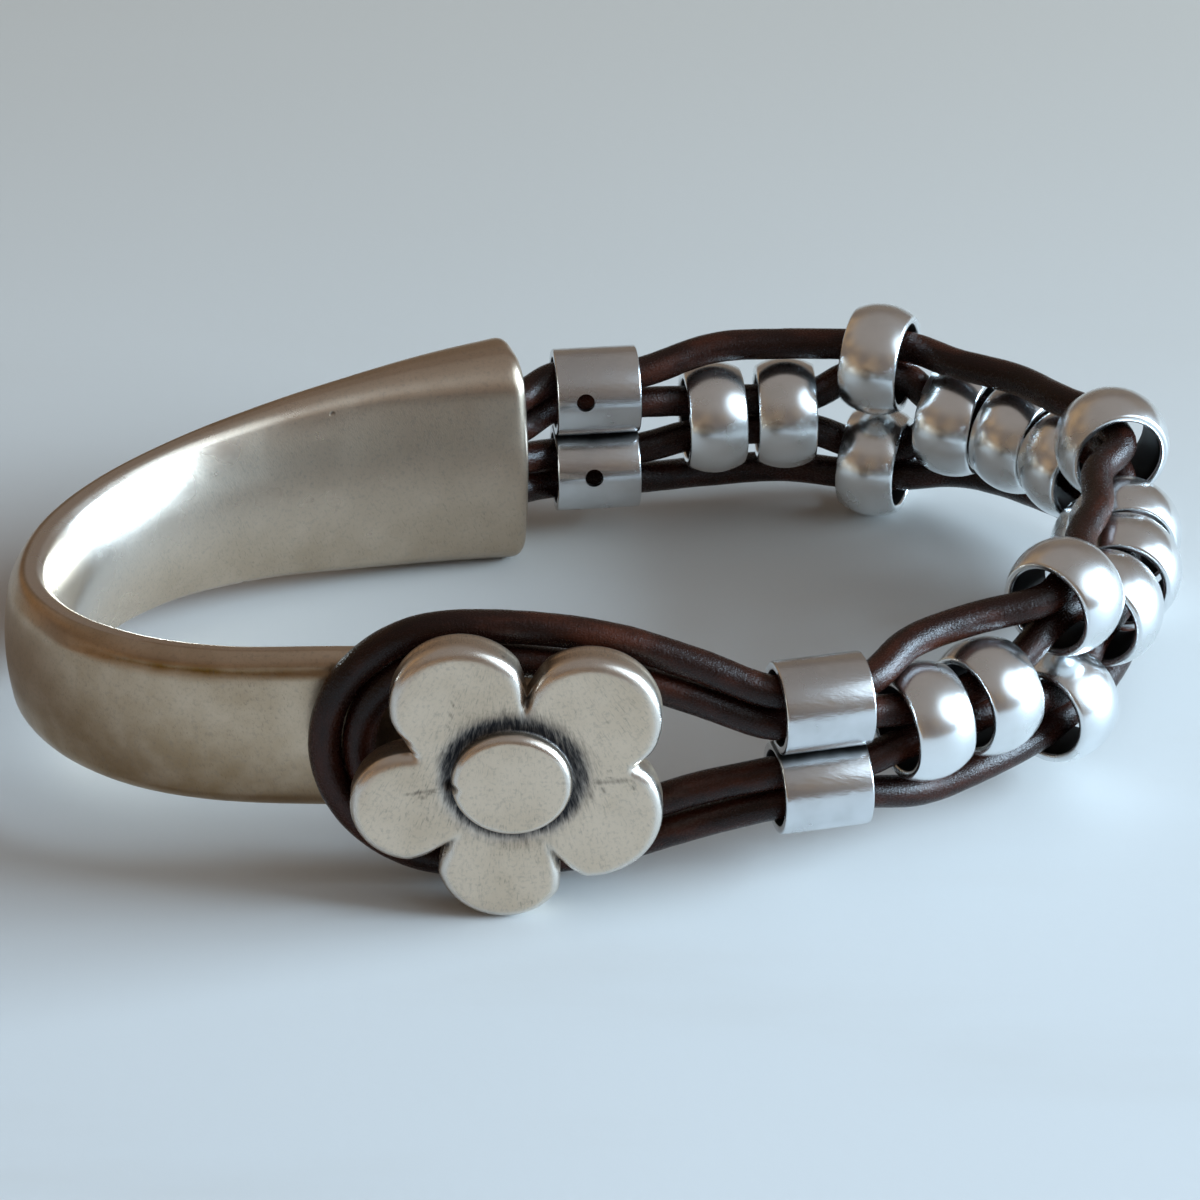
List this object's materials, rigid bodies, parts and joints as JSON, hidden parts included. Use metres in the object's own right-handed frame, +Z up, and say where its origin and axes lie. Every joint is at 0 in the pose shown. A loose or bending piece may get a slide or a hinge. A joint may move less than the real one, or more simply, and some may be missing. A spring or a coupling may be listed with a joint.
{
  "type": "half-cuff bracelet of round leather cords with a flower button",
  "caption": "Bracelet of a cast half cuff and looped round leather cords threaded with beads, closed by hooking the cord loops over a flower button.",
  "frame": {"origin": "middle of the bottom of the bounding box, on the surface that the bracelet lies on", "axes": "+Z up, nearly along the axis of the wrist; +X from the cuff towards the beads, along the longest extent; -Y towards the flower button"},
  "size_m": [0.0798, 0.0558, 0.0204],
  "materials": {
    "antique_silver": "satin antique silver plate, darkened in the hollows",
    "polished_silver": "polished antique silver plate",
    "brown_leather": "satin, very dark brown"
  },
  "bodies": {
    "root": {"half_cuff": "antique_silver", "slider_socket": "polished_silver", "slider_flower": "polished_silver", "bead_01": "polished_silver", "bead_02": "polished_silver", "bead_03": "polished_silver", "bead_04": "polished_silver", "bead_05": "polished_silver", "bead_06": "polished_silver", "bead_07": "polished_silver", "bead_08": "polished_silver", "bead_09": "polished_silver", "bead_10": "polished_silver", "bead_pair_a_upper": "polished_silver", "bead_pair_a_lower": "polished_silver", "bead_pair_b_upper": "polished_silver", "bead_pair_b_lower": "polished_silver", "bead_pair_c_upper": "polished_silver", "bead_pair_c_lower": "polished_silver", "cord_1_upper": "brown_leather", "cord_1_lower": "brown_leather", "cord_2_upper": "brown_leather", "cord_2_lower": "brown_leather"}
  },
  "joints": []
}
